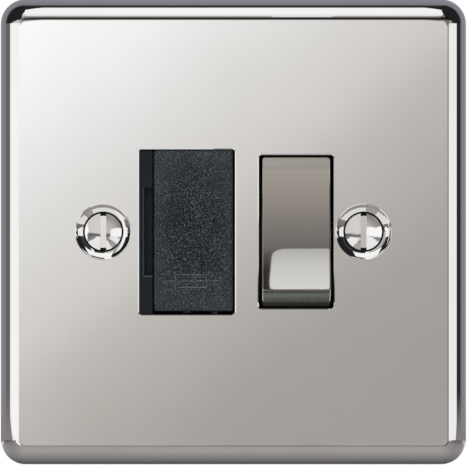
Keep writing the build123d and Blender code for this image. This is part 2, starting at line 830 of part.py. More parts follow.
clamp_places = [(x, way * terminal_z) for x, way in terminal_places.values()]
clamp_tip_h = conductor_h - conductor_r - thread_gap
with BuildPart() as terminal_screws:
    with BuildSketch(front(floor_h)):
        with Locations(*clamp_places):
            Circle(clamp_r)
    extrude(amount=clamp_tip_h - floor_h)
    with BuildSketch(front(floor_h)):
        with Locations(*clamp_places):
            Circle(clamp_head_r)
    extrude(amount=-clamp_head_t)
    with BuildSketch(front(floor_h - clamp_head_t)):
        with Locations(*clamp_places):
            Rectangle(2 * clamp_head_r, clamp_slot_w)
    extrude(amount=clamp_slot_depth, mode=Mode.SUBTRACT)
keep(terminal_screws.part, "terminal_screws")

# Screws that hold the housing to the moulding.
tapping_head_h = rear_h + tapping_sink + tapping_head_t
with BuildPart() as assembly_screws:
    with BuildSketch(front(tapping_head_h)):
        with Locations(*post_places):
            Circle(tapping_r)
    extrude(amount=flange_h + tapping_bite - thread_gap - tapping_head_h)
    with BuildSketch(front(tapping_head_h)):
        with Locations(*post_places):
            Circle(tapping_head_r)
    extrude(amount=-tapping_head_t)
    with BuildSketch(front(tapping_head_h - tapping_head_t)):
        with Locations(*post_places):
            Rectangle(2 * tapping_head_r, clamp_slot_w)
    extrude(amount=clamp_slot_depth, mode=Mode.SUBTRACT)
keep(assembly_screws.part, "assembly_screws")

# Studs welded inside the plate, and the nuts that clamp the moulding to it.
with BuildPart() as plate_studs:
    with BuildSketch(front(inner_h)):
        with Locations(*stud_places):
            Circle(stud_r)
    extrude(amount=-(flange_t + nut_t + stud_tail))
keep(plate_studs.part, "plate_studs")

with BuildPart() as stud_nuts:
    with BuildSketch(front(flange_h)):
        with Locations(*stud_places):
            RegularPolygon(nut_af / 2, 6, major_radius=False)
            Circle(stud_r + thread_gap, mode=Mode.SUBTRACT)
    extrude(amount=-nut_t)
keep(stud_nuts.part, "stud_nuts")

# Cartridge fuse: ceramic barrel between two drawn caps.
with BuildPart() as fuse_barrel:
    with BuildSketch(level(0)):
        with Locations((fuse_x, fuse_h)):
            Circle(barrel_r)
    extrude(amount=fuse_len / 2 - cap_end, both=True)
keep(fuse_barrel.part, "fuse_barrel")


def fuse_cap(way, label):
    """Drawn cap over one end of the barrel."""
    with BuildPart() as cap:
        with BuildSketch(level(way * fuse_len / 2)):
            with Locations((fuse_x, fuse_h)):
                Circle(fuse_r)
        extrude(amount=way * cap_len)
        with BuildSketch(level(way * (fuse_len / 2 - cap_end))):
            with Locations((fuse_x, fuse_h)):
                Circle(barrel_r)
        extrude(amount=way * (cap_len - cap_end), mode=Mode.SUBTRACT)
    keep(cap.part, label)


fuse_cap(1, "fuse_cap_top")
fuse_cap(-1, "fuse_cap_bottom")

# Fuse carrier: a door with cradle ribs, end cheeks and pivot pins. The door's hinge edge is rounded so that
# it turns inside the aperture.
cheek_z = fuse_len / 2 + cheek_gap
cradle_r = barrel_r + cradle_gap
with BuildPart() as fuse_carrier:
    with BuildSketch(front(door_back_h)):
        with Locations(((door_left + door_right) / 2, (door_top + door_bottom) / 2)):
            Rectangle(door_right - door_left, door_top - door_bottom)
    extrude(amount=door_t)
    fillet(fuse_carrier.edges().filter_by(Axis.Y).sort_by(Axis.X)[:2], door_corner)
    door_rim = fuse_carrier.faces().sort_by(Axis.Y)[0].edges()
    hinge_edge = door_rim.sort_by(Axis.X)[-1]
    fillet(hinge_edge, hinge_round)
    door_rim = fuse_carrier.faces().sort_by(Axis.Y)[0].edges()
    chamfer([edge for edge in door_rim if edge.center().X < door_right - hinge_round], door_edge)
    with BuildSketch(front(door_back_h)):
        with Locations((fuse_x, door_bottom)):
            Rectangle(nib_w, 2 * nib_rise)
    extrude(amount=door_t / 2)
    for way in (-1, 1):
        with BuildSketch(level(way * cheek_z)):
            with BuildLine():
                Polyline(
                    (pivot_x + 2 * pin_r, door_back_h),
                    (pivot_x + 2 * pin_r, fuse_h - cheek_back),
                    (fuse_x - fuse_r, fuse_h - cheek_back),
                    (fuse_x - fuse_r, door_back_h),
                    close=True,
                )
            make_face()
            with Locations((pivot_x, pivot_h)):
                Circle(2 * pin_r)
        extrude(amount=-way * cheek_t)
        with BuildSketch(level(way * (cheek_z + cheek_t))):
            with Locations((pivot_x, pivot_h)):
                Circle(pin_r)
        extrude(amount=-way * (carrier_well_half_h + pin_hold - cheek_z - cheek_t))
        with BuildSketch(level(way * cradle_place)):
            with Locations((fuse_x, (fuse_h + door_back_h) / 2)):
                Rectangle(cradle_neck, door_back_h - fuse_h)
            with Locations((fuse_x, fuse_h)):
                Circle(cradle_r + cradle_wall)
                Circle(cradle_r, mode=Mode.SUBTRACT)
            with Locations((fuse_x, fuse_h - cradle_r)):
                Rectangle(cradle_mouth, 2 * cradle_r - cradle_wall, mode=Mode.SUBTRACT)
        extrude(amount=cradle_rib / 2, both=True)
keep(fuse_carrier.part, "fuse_carrier")
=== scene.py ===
import math

import bpy
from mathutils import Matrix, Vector


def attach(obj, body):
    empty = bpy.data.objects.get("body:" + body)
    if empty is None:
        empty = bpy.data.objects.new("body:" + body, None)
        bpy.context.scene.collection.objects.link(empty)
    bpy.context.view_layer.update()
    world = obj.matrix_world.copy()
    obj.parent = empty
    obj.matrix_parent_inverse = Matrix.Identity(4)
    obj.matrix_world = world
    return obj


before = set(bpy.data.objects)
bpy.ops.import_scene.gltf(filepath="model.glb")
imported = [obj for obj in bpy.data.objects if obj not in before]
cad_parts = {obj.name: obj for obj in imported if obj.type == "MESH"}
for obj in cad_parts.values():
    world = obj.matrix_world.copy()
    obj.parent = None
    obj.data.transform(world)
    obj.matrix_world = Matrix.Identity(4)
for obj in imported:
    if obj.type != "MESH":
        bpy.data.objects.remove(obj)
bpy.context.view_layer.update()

scene = bpy.context.scene
for name in ("Cube", "Light", "Camera"):  # Blender's own starting objects
    if name in bpy.data.objects:
        bpy.data.objects.remove(bpy.data.objects[name])

# Places on the object in metres: x to the right, z up, and heights (H) from the wall towards the user

MM = 0.001
PLATE_HALF = 43.0 * MM
PLATE_FRONT_H = 6.5 * MM
SHEET = 0.8 * MM
CORNER_R = 4.6 * MM
EDGE_ROLL_R = 3.5 * MM
OPENINGS_HALF_X = 18.75 * MM
OPENINGS_HALF_Z = 15.6 * MM
OPENINGS_FRONT_H = 6.42 * MM
SCREW_X = 24.0 * MM
SCREW_HOLE_R = 3.74 * MM
SCREW_HEAD_H = 5.4 * MM
SHANK_FRONT_H = 2.6 * MM
THREAD_PITCH = 0.6 * MM
BOWL_RIM_R = 5.4 * MM
BOWL_FLOOR_H = 5.72 * MM
AXLE_H = 0.78 * MM
ROCKER_LEAN = math.radians(10.5)
DOOR_MIDDLE_X = -7.3 * MM
DOOR_FACE_H = 6.8 * MM
PRY_SIDE_X = -16.56 * MM
PRY_HALF_Z = 8.1 * MM
PRY_FOOT_Z = -8.2 * MM
PRY_FRONT_H = 5.8 * MM
NEAR_HOUSING_FLOOR_H = (-14.8 * MM, -13.8 * MM)
FLOOR_Z = -0.12
FLOOR_HALF = 1.5


# Node helpers

class Graph:
    """Short calls for the nodes of one tree; a value is a socket or a plain number."""

    def __init__(self, tree):
        self.tree = tree

    def new(self, kind):
        return self.tree.nodes.new("ShaderNode" + kind)

    def put(self, socket, value):
        """Link a socket, or set a plain value."""
        if isinstance(value, bpy.types.NodeSocket):
            self.tree.links.new(value, socket)
        else:
            socket.default_value = value

    def maths(self, operation, a, b=0.0):
        node = self.new("Math")
        node.operation = operation
        self.put(node.inputs[0], a)
        self.put(node.inputs[1], b)
        return node.outputs[0]

    def chain(self, operation, parts):
        """Join the parts by one operation, from the first to the last."""
        result, *rest = parts
        for part in rest:
            result = self.maths(operation, result, part)
        return result

    def plus(self, *parts):
        return self.chain("ADD", parts)

    def times(self, *parts):
        return self.chain("MULTIPLY", parts)

    def largest(self, *parts):
        return self.chain("MAXIMUM", parts)

    def smallest(self, *parts):
        return self.chain("MINIMUM", parts)

    def minus(self, a, b):
        return self.maths("SUBTRACT", a, b)

    def divided(self, a, b):
        return self.maths("DIVIDE", a, b)

    def size(self, a):
        return self.maths("ABSOLUTE", a)

    def below(self, a, limit):
        return self.maths("LESS_THAN", a, limit)

    def above(self, a, limit):
        return self.maths("GREATER_THAN", a, limit)

    def length(self, a, b):
        return self.maths("SQRT", self.plus(self.times(a, a), self.times(b, b)))

    def span(self, value, ends, to=(0.0, 1.0), smooth=False):
        """Carry the value's way between two ends over to another pair, and hold it there outside them."""
        node = self.new("MapRange")
        node.interpolation_type = "SMOOTHSTEP" if smooth else "LINEAR"
        self.put(node.inputs[0], value)
        for index, end in enumerate((*ends, *to), 1):
            node.inputs[index].default_value = end
        return node.outputs[0]

    def mix(self, share, a, b):
        """Colour a, with a share of colour b."""
        node = self.new("Mix")
        node.data_type = "RGBA"
        self.put(node.inputs[0], share)
        for socket, colour in ((node.inputs[6], a), (node.inputs[7], b)):
            if not isinstance(colour, bpy.types.NodeSocket):
                colour = (*colour, 1.0)
            self.put(socket, colour)
        return node.outputs[2]

    def ramp(self, value, stops):
        """Colour that changes evenly from stop to stop."""
        node = self.new("ValToRGB")
        elements = node.color_ramp.elements
        while len(elements) < len(stops):
            elements.new(0.5)
        for element, (place, colour) in zip(elements, stops):
            element.position = place
            element.color = (*colour, 1.0)
        self.put(node.inputs[0], value)
        return node.outputs[0]

    def split(self, vector):
        axes = self.new("SeparateXYZ")
        self.put(axes.inputs[0], vector)
        return axes.outputs

    def camera_ray(self):
        return self.new("LightPath").outputs["Is Camera Ray"]

    def blend(self, share, first, second):
        """One shader, with a share of another."""
        node = self.new("MixShader")
        self.put(node.inputs[0], share)
        self.put(node.inputs[1], first.outputs[0])
        self.put(node.inputs[2], second.outputs[0])
        return node.outputs[0]


class Finish(Graph):
    """A new material, with its shader and the point that is shaded."""

    def __init__(self, name, metallic, ior=1.5):
        self.material = bpy.data.materials.new(name + "_finish")
        self.material.use_nodes = True
        super().__init__(self.material.node_tree)
        self.shader = self.tree.nodes["Principled BSDF"]
        self.shader.inputs["Metallic"].default_value = metallic
        self.shader.inputs["IOR"].default_value = ior
        self.where = self.new("TexCoord").outputs["Object"]

    def place(self):
        """The x, height and z of the point."""
        x, y, z = self.split(self.where)
        return x, self.times(y, -1.0), z

    def noise(self, scale, detail, rough, streak=None):
        """Cloudy noise; a streak gives it another scale along each axis."""
        node = self.new("TexNoise")
        self.put(node.inputs["Vector"], self.stretched(streak) if streak else self.where)
        node.inputs["Scale"].default_value = scale
        node.inputs["Detail"].default_value = detail
        node.inputs["Roughness"].default_value = rough
        return node.outputs["Fac"]

    def stretched(self, factors):
        node = self.new("Mapping")
        self.put(node.inputs["Vector"], self.where)
        node.inputs["Scale"].default_value = factors
        return node.outputs[0]

    def cells(self, scale):
        node = self.new("TexVoronoi")
        node.feature = "SMOOTH_F1"
        self.put(node.inputs["Vector"], self.where)
        node.inputs["Scale"].default_value = scale
        return node.outputs["Distance"]

    def bump(self, height, distance, base=None):
        node = self.new("Bump")
        self.put(node.inputs["Height"], height)
        node.inputs["Distance"].default_value = distance
        node.inputs["Strength"].default_value = 1.0
        if base is not None:
            self.put(node.inputs["Normal"], base)
        return node.outputs[0]

    def feed(self, socket, value):
        """Link a value to the shader."""
        self.put(self.shader.inputs[socket], value)


# Chromed finishes

POLISH_ROUGH = 0.02
HAIRLINE_ROUGH = 0.015
HAIRLINE_STREAK = (900.0, 900.0, 60.0)
SHEET_RIPPLE = 0.004 * MM
CLOUD_ENDS = (0.3, 0.7)
NOISE_ENDS = (0.25, 0.75)


def polish(name, light, dark, smear):
    """Polished plating: faint cloudy smears, hairline polishing marks and a very slight ripple."""
    paint = Finish(name, metallic=1.0)
    cloud = paint.noise(scale=45.0, detail=4.0, rough=0.6)
    colour = paint.mix(paint.span(cloud, CLOUD_ENDS), dark, light)
    marks = paint.noise(scale=1.0, detail=2.0, rough=0.6, streak=HAIRLINE_STREAK)
    smears = paint.span(cloud, NOISE_ENDS, (POLISH_ROUGH, POLISH_ROUGH + smear))
    gloss = paint.plus(smears, paint.span(marks, (0.6, 0.8), (0.0, HAIRLINE_ROUGH)))
    normal = paint.bump(paint.noise(scale=55.0, detail=1.0, rough=0.4), SHEET_RIPPLE)
    return paint, colour, gloss, normal


# Painted dark reflection line where the flat face meets the rolled edge, widest at the top corners
EDGE_SHADE_REACH = 0.88 * MM
EDGE_SHADE_FADE = (37.8 * MM, 39.2 * MM)
EDGE_SHADE_FADE_BOTTOM = (-39.2 * MM, -37.8 * MM)
EDGE_SHADE_RIGHT = 0.72
EDGE_SHADE_BOTTOM = 0.28
EDGE_SHADE_BREADTH = 0.18 * MM
EDGE_SHADE_BREADTH_TOP = 0.27 * MM
EDGE_SHADE_BREADTH_CORNER = 0.5 * MM
EDGE_SHADE_SHIFT_OUT = 0.4 * MM
EDGE_SHADE_SHIFT_CORNER = 0.3 * MM
EDGE_SHADE_CORNER = (34.5 * MM, 39.2 * MM)
EDGE_SHADE = (0.016, 0.015, 0.014)


def plate_reach(paint, wide, tall):
    """How far the point lies outside the square that the plate's corners are rounded about."""
    across = paint.minus(wide, PLATE_HALF - CORNER_R)
    along = paint.minus(tall, PLATE_HALF - CORNER_R)
    outside = paint.length(paint.largest(across, 0.0), paint.largest(along, 0.0))
    return paint.plus(outside, paint.smallest(paint.largest(across, along), 0.0))


def painted_edge_shade(paint, x, z, wide, reach):
    """Share of the painted dark reflection line along the face's edge: full at the top, less at the right and
    the bottom, and none at the left.
    """
    top = paint.span(z, EDGE_SHADE_FADE)
    right = paint.span(x, EDGE_SHADE_FADE, (0.0, EDGE_SHADE_RIGHT))
    bottom = paint.span(z, EDGE_SHADE_FADE_BOTTOM, (EDGE_SHADE_BOTTOM, 0.0))
    corner = paint.span(wide, EDGE_SHADE_CORNER)
    corner = paint.times(corner, corner, top)
    breadth = paint.plus(paint.times(top, EDGE_SHADE_BREADTH_TOP), EDGE_SHADE_BREADTH)
    breadth = paint.plus(breadth, paint.times(corner, EDGE_SHADE_BREADTH_CORNER))
    centre = paint.plus(paint.times(paint.largest(right, bottom), EDGE_SHADE_SHIFT_OUT), EDGE_SHADE_REACH)
    centre = paint.minus(centre, paint.times(corner, EDGE_SHADE_SHIFT_CORNER))
    stray = paint.divided(paint.size(paint.minus(reach, centre)), breadth)
    line = paint.span(stray, (0.25, 1.0), (1.0, 0.0), smooth=True)
    return paint.times(line, paint.largest(top, right, bottom))


def inner_side(paint, h, reach, off_axis):
    """One on the tray's inner side, behind the middle of the sheet, and zero on its front."""
    over_side = paint.largest(paint.minus(reach, CORNER_R - EDGE_ROLL_R), 0.0)
    over_edge = paint.largest(paint.minus(h, PLATE_FRONT_H - EDGE_ROLL_R), 0.0)
    inside = paint.below(paint.length(over_side, over_edge), EDGE_ROLL_R - SHEET / 2)
    bowl = paint.times(paint.below(off_axis, BOWL_RIM_R), paint.above(h, BOWL_FLOOR_H))
    return paint.times(inside, paint.minus(1.0, bowl))


def plate_finish():
    """Chrome with a painted dark reflection line at the face's edge, walls in the openings and screw seats
    painted dark as shade and made dull, and a brushed inner side.
    """
    paint, colour, gloss, normal = polish(
        "plate_chrome", light=(0.83, 0.82, 0.81), dark=(0.80, 0.79, 0.775), smear=0.012)
    wall_shade = (0.022, 0.024, 0.014)
    inner_dark = (0.50, 0.49, 0.48)
    inner_light = (0.66, 0.65, 0.64)
    wall_rough = 0.45
    inner_rough = 0.3
    x, h, z = paint.place()
    wide = paint.size(x)
    tall = paint.size(z)
    reach = plate_reach(paint, wide, tall)
    # Painted dark reflection line along the face's edge
    colour = paint.mix(painted_edge_shade(paint, x, z, wide, reach), colour, EDGE_SHADE)
    # Painted shade: the walls of the openings and the screw seats are coloured near-black
    wall = paint.times(
        paint.below(wide, OPENINGS_HALF_X),
        paint.below(tall, OPENINGS_HALF_Z),
        paint.below(h, OPENINGS_FRONT_H),
    )
    off_axis = paint.length(paint.minus(wide, SCREW_X), z)
    wall = paint.largest(wall, paint.below(off_axis, SCREW_HOLE_R))
    inside = inner_side(paint, h, reach, off_axis)
    brushed = paint.noise(scale=1.0, detail=3.0, rough=0.6, streak=(2600.0, 2600.0, 90.0))
    colour = paint.mix(inside, colour, paint.mix(brushed, inner_dark, inner_light))
    dull = paint.largest(paint.times(wall, wall_rough), paint.times(inside, inner_rough))
    paint.feed("Base Color", paint.mix(wall, colour, wall_shade))
    paint.feed("Roughness", paint.plus(gloss, dull))
    paint.feed("Normal", normal)
    return paint.material


ROCKER_SKIRT = (4.6 * MM, 5.2 * MM)
ROCKER_END_R = (14.74 * MM, 14.80 * MM)
CREST_FOOT_Z = (11.45 * MM, 11.9 * MM)
CREST_FOOT = 0.35
CREST_TOP_Z = (12.3 * MM, 13.5 * MM)
CREST_TOP = 0.19
ROCKER_TAIL_H = (6.5 * MM, 11.0 * MM)
# Painted reflection: greenish-grey colours down the rocker's lower end, by height
ROCKER_TAIL_REFLECTION = [
    (0.09, (0.17, 0.19, 0.09)),
    (0.41, (0.20, 0.225, 0.16)),
    (0.54, (0.27, 0.29, 0.22)),
    (0.67, (0.36, 0.43, 0.38)),
    (0.78, (0.47, 0.58, 0.49)),
    (0.87, (0.39, 0.46, 0.42)),
    (0.94, (0.24, 0.25, 0.21)),
]


def rocker_finish():
    """Dark chrome with a painted greenish reflection on its lower end and a painted shade band on its crest;
    the skirt and the axles are bare moulding.
    """
    paint, colour, gloss, normal = polish(
        "rocker_chrome", light=(0.56, 0.53, 0.49), dark=(0.53, 0.50, 0.46), smear=0.004)
    crest_shade = (0.02, 0.018, 0.017)
    moulding = (0.010, 0.011, 0.009)
    bare_rough = 0.5
    end_rough = 0.25
    _, h, z = paint.place()
    ahead = paint.minus(h, AXLE_H)
    front = paint.plus(paint.times(ahead, math.cos(ROCKER_LEAN)), paint.times(z, math.sin(ROCKER_LEAN)))
    bare = paint.span(front, ROCKER_SKIRT, (1.0, 0.0))
    end = paint.span(paint.length(ahead, z), ROCKER_END_R)
    # Painted reflection on the lower end, by height
    colour = paint.mix(end, colour, paint.ramp(paint.span(h, ROCKER_TAIL_H), ROCKER_TAIL_REFLECTION))
    # Painted shade: a dark band across the cap's crest, strongest just above its foot and weaker higher up
    crest = paint.span(z, CREST_FOOT_Z, (0.0, CREST_FOOT))
    crest = paint.minus(crest, paint.span(z, CREST_TOP_Z, (0.0, CREST_TOP)))
    colour = paint.mix(crest, colour, crest_shade)
    dull = paint.largest(paint.times(bare, bare_rough), paint.times(end, end_rough))
    paint.feed("Base Color", paint.mix(bare, colour, moulding))
    paint.feed("Metallic", paint.minus(1.0, bare))
    paint.feed("Roughness", paint.plus(gloss, dull))
    paint.feed("Normal", normal)
    return paint.material


def screw_finish():
    """Chromed screws with a turned, slightly uneven face and a fine thread on the shank, whose grooves are
    painted dark as shade.
    """
    paint, colour, gloss, normal = polish(
        "screw_chrome", light=(0.95, 0.94, 0.93), dark=(0.86, 0.85, 0.84), smear=0.06)
    groove_shade = (0.10, 0.10, 0.10)
    groove_share = 0.7
    thread_depth = 0.5 * MM
    ring_rate = 45000.0
    ring_rough = 0.03
    face_depth = 0.08 * MM
    x, h, z = paint.place()
    off = paint.minus(x, paint.times(paint.maths("SIGN", x), SCREW_X))
    turns = paint.divided(paint.maths("ARCTAN2", z, off), 2 * math.pi)
    winding = paint.plus(paint.divided(h, THREAD_PITCH), turns)
    shank = paint.below(h, SHANK_FRONT_H)
    thread = paint.times(paint.maths("PINGPONG", winding, 0.5), shank)
    # Painted shade in the thread's grooves
    depth = paint.times(shank, paint.span(thread, (0.0, 0.5), (groove_share, 0.0)))
    rings = paint.maths("SINE", paint.times(paint.length(off, z), ring_rate))
    uneven = paint.times(paint.noise(scale=380.0, detail=1.0, rough=0.4), paint.above(h, SCREW_HEAD_H))
    wavy = paint.bump(uneven, face_depth, normal)
    paint.feed("Base Color", paint.mix(depth, colour, groove_shade))
    paint.feed("Roughness", paint.plus(gloss, paint.span(rings, (-1.0, 1.0), (0.0, ring_rough))))
    paint.feed("Normal", paint.bump(thread, thread_depth, wavy))
    return paint.material


# Bare metals and plastics

METAL_GRAIN_DEPTH = 0.006 * MM
METAL_ROUGH = (0.75, 1.3)
GLOSS_SPREAD = 0.06
PIT_HEIGHT = 0.65
LUMP_HEIGHT = 0.55
LUMP_SCALE = 0.75
PATCH_SHADE = 0.6
FLECK_SHADE = 0.4


def metal(name, light, dark, rough, streak=(1.0, 1.0, 1.0), deep=None):
    """Metal with a rolled or turned grain and slight tarnish; deep is a painted shade near the housing's
    floor.
    """
    paint = Finish(name, metallic=1.0)
    tarnish = paint.noise(scale=260.0, detail=5.0, rough=0.62)
    colour = paint.mix(paint.span(tarnish, (0.32, 0.68)), dark, light)
    if deep:
        _, h, _ = paint.place()
        # Painted shade towards the housing's floor
        colour = paint.mix(paint.span(h, NEAR_HOUSING_FLOOR_H, (1.0, 0.0)), colour, deep)
    grain = paint.noise(scale=1200.0, detail=3.0, rough=0.55, streak=streak)
    paint.feed("Base Color", colour)
    paint.feed("Roughness", paint.span(grain, NOISE_ENDS, [rough * share for share in METAL_ROUGH]))
    paint.feed("Normal", paint.bump(grain, METAL_GRAIN_DEPTH))
    return paint.material


def plastic(name, light, dark, rough, grain, depth, flecks=0.0, ior=1.49, mid=0.57, sharp=0.22, painted_highlight=None):
    """Moulded plastic: eroded tool grain, patchy gloss, a slight random change of tone and painted highlights
    in given places.
    """
    paint = Finish(name, metallic=0.0, ior=ior)
    patch = paint.noise(scale=120.0, detail=4.0, rough=0.6)
    pits = paint.noise(scale=grain, detail=2.5, rough=0.6)
    lumps = paint.cells(scale=grain * LUMP_SCALE)
    height = paint.plus(paint.times(pits, PIT_HEIGHT), paint.times(lumps, LUMP_HEIGHT))
    patchy = paint.span(patch, CLOUD_ENDS, (0.0, PATCH_SHADE))
    fleck = paint.span(height, (mid - sharp, mid + sharp), (-flecks, FLECK_SHADE + flecks))
    colour = paint.mix(paint.plus(patchy, fleck), dark, light)
    # Painted highlight: a paler colour over the given places
    if painted_highlight:
        highlight_place, pale = painted_highlight
        colour = paint.mix(highlight_place(paint), colour, pale)
    paint.feed("Base Color", colour)
    paint.feed("Roughness", paint.span(pits, NOISE_ENDS, (rough - GLOSS_SPREAD, rough + GLOSS_SPREAD)))
    paint.feed("Normal", paint.bump(height, depth))
    return paint.material


def door_rim_highlight(paint):
    """Painted highlight: the rim of the fuse door is coloured paler than its middle."""
    half_x = 7.4 * MM
    half_z = 16.0 * MM
    rim = (0.35, 1.15)
    most = 0.26
    x, _, z = paint.place()
    across = paint.divided(paint.minus(x, DOOR_MIDDLE_X), half_x)
    along = paint.divided(z, half_z)
    return paint.span(paint.length(across, along), rim, (0.0, most), smooth=True)


def pry_edge_highlight(paint):
    """Painted highlight: a thin pale line along the left and lower edges of the pry recess."""
    half_line = 0.1 * MM
    x, h, z = paint.place()
    side = paint.times(
        paint.below(paint.size(paint.minus(x, PRY_SIDE_X)), half_line),
        paint.below(paint.size(z), PRY_HALF_Z),
    )
    foot = paint.times(
        paint.below(paint.size(paint.minus(z, PRY_FOOT_Z)), half_line),
        paint.above(x, PRY_SIDE_X),
    )
    return paint.times(paint.largest(side, foot), paint.above(h, PRY_FRONT_H))


PLASTICS = {
    "moulding_black": {
        "light": (0.006, 0.0095, 0.015), "dark": (0.002, 0.0035, 0.006),
        "rough": 0.5, "grain": 2600.0, "depth": 0.006 * MM, "ior": 1.36,
        "painted_highlight": (pry_edge_highlight, (0.075, 0.08, 0.085)),
    },
    "housing_black": {
        "light": (0.024, 0.024, 0.025), "dark": (0.014, 0.014, 0.015),
        "rough": 0.5, "grain": 1900.0, "depth": 0.012 * MM,
    },
    "carrier_charcoal": {
        "light": (0.105, 0.128, 0.156), "dark": (0.0, 0.0005, 0.001),
        "rough": 0.38, "grain": 7000.0, "depth": 0.12 * MM, "ior": 1.36,
        "flecks": 0.6, "mid": 0.64, "sharp": 0.10,
        "painted_highlight": (door_rim_highlight, (0.08, 0.098, 0.118)),
    },
    "ceramic_white": {
        "light": (0.78, 0.77, 0.74), "dark": (0.70, 0.69, 0.65),
        "rough": 0.32, "grain": 900.0, "depth": 0.006 * MM,
    },
    "plunger_plastic": {
        "light": (0.66, 0.64, 0.58), "dark": (0.58, 0.56, 0.50),
        "rough": 0.35, "grain": 1500.0, "depth": 0.004 * MM,
    },
    # Painted highlights for the mark's edges: a strong one for the upper and left edges, a weaker one for the
    # others
    "mark_highlight": {
        "light": (0.44, 0.46, 0.48), "dark": (0.32, 0.335, 0.35),
        "rough": 0.35, "grain": 2600.0, "depth": 0.004 * MM,
    },
    "mark_shade": {
        "light": (0.19, 0.205, 0.22), "dark": (0.13, 0.14, 0.15),
        "rough": 0.4, "grain": 2600.0, "depth": 0.004 * MM,
    },
}
METALS = {
    "nickel": {"light": (0.66, 0.63, 0.58), "dark": (0.56, 0.53, 0.48), "rough": 0.22},
    "brass": {
        "light": (0.80, 0.60, 0.27), "dark": (0.66, 0.47, 0.19), "rough": 0.3,
        "streak": (1.0, 0.15, 1.0), "deep": (0.085, 0.06, 0.03),
    },
    "copper": {
        "light": (0.79, 0.46, 0.33), "dark": (0.62, 0.33, 0.22), "rough": 0.28,
        "streak": (1.0, 0.2, 1.0),
    },
    "contact_silver": {"light": (0.86, 0.85, 0.82), "dark": (0.74, 0.72, 0.68), "rough": 0.26},
    "zinc_steel": {"light": (0.60, 0.61, 0.62), "dark": (0.48, 0.49, 0.50), "rough": 0.34},
}
FINISH = {
    "plate_chrome": plate_finish(),
    "rocker_chrome": rocker_finish(),
    "screw_chrome": screw_finish(),
}
for name, look in PLASTICS.items():
    FINISH[name] = plastic(name, **look)
for name, look in METALS.items():
    FINISH[name] = metal(name, **look)
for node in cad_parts.values():
    for slot in node.material_slots:
        slot.material = FINISH[slot.material.name]


# Raised mark on the fuse door

def loop(curve, points):
    """Close one flat outline through the points."""
    spline = curve.splines.new("POLY")
    spline.points.add(len(points) - 1)
    for point, (u, w) in zip(spline.points, points):
        point.co = (u, w, 0.0, 1.0)
    spline.use_cyclic_u = True


def fuse_mark(name, middle, length, box, core, edge, rise):
    """Low moulded fuse symbol, a box with a line through it, that stands on the door with rounded edges."""
    x, h, z = middle
    half = length / 2 - edge
    stub = box[0] / 2 - edge
    high = box[1] / 2 - edge
    curve = bpy.data.curves.new(name, "CURVE")
    curve.dimensions = "2D"
    curve.fill_mode = "BOTH"
    curve.bevel_depth = edge
    curve.bevel_resolution = 1
    side = [(-half, -core), (-stub, -core), (-stub, -high), (stub, -high), (stub, -core), (half, -core)]
    loop(curve, side + [(-u, -w) for u, w in side])
    inner = stub - 2 * core
    clear = high - 2 * core
    for way in (-1, 1):
        near = way * core
        far = way * clear
        loop(curve, [(-inner, near), (inner, near), (inner, far), (-inner, far)])
    drawn = bpy.data.objects.new(name + "_curve", curve)
    scene.collection.objects.link(drawn)
    bpy.context.view_layer.update()
    mesh = bpy.data.meshes.new_from_object(drawn.evaluated_get(bpy.context.evaluated_depsgraph_get()))
    bpy.data.objects.remove(drawn)
    for v in mesh.vertices:
        v.co = Vector((x + v.co.x, -(h + v.co.z * rise / edge), z + v.co.y))
    mesh.update()
    piece = bpy.data.objects.new(name, mesh)
    scene.collection.objects.link(piece)
    return piece


MARK_FINISHES = ("carrier_charcoal", "mark_highlight", "mark_shade")
FACING_USER = -0.9


def mark_finish(normal):
    """The mark's top is like the door; its upper and left edges get a strong painted highlight and its other
    edges a weaker one.
    """
    if normal.y < FACING_USER:
        return "carrier_charcoal"
    return "mark_highlight" if normal.z - normal.x > 0 else "mark_shade"


mark = fuse_mark(
    "door_mark",
    middle=(-7.55 * MM, DOOR_FACE_H, -9.3 * MM),
    length=10.7 * MM,
    box=(6.2 * MM, 2.9 * MM),
    core=0.10 * MM,
    edge=0.16 * MM,
    rise=0.10 * MM,
)
for name in MARK_FINISHES:
    mark.data.materials.append(FINISH[name])
for face in mark.data.polygons:
    face.material_index = MARK_FINISHES.index(mark_finish(face.normal))
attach(mark, "fuse_carrier")


# Floor

WHITE = (1.0, 1.0, 1.0)
FLOOR_PALE = ((0.86, 0.855, 0.85), (0.90, 0.895, 0.89))
FLOOR_NEAR = ((0.32, 0.31, 0.305), (0.35, 0.34, 0.335))
FLOOR_FAR = (0.29, 0.28, 0.275)
FLOOR_PAINTED_SHADOW = (0.076, 0.073, 0.071)
FLOOR_ROUGH = 0.7
FLOOR_FAR_H = (0.2, 0.5)
FLOOR_FAR_SIDE = (0.05, 0.12)
UNDER_FRONT_H = (-0.06, 0.10)
UNDER_BACK_H = (-0.40, -0.15)
UNDER_SIDE = (0.06, 0.16)
BEHIND_H = (-0.40, -0.20)
BEHIND_PALE = 0.7
FADE_R = (0.12, 0.45)


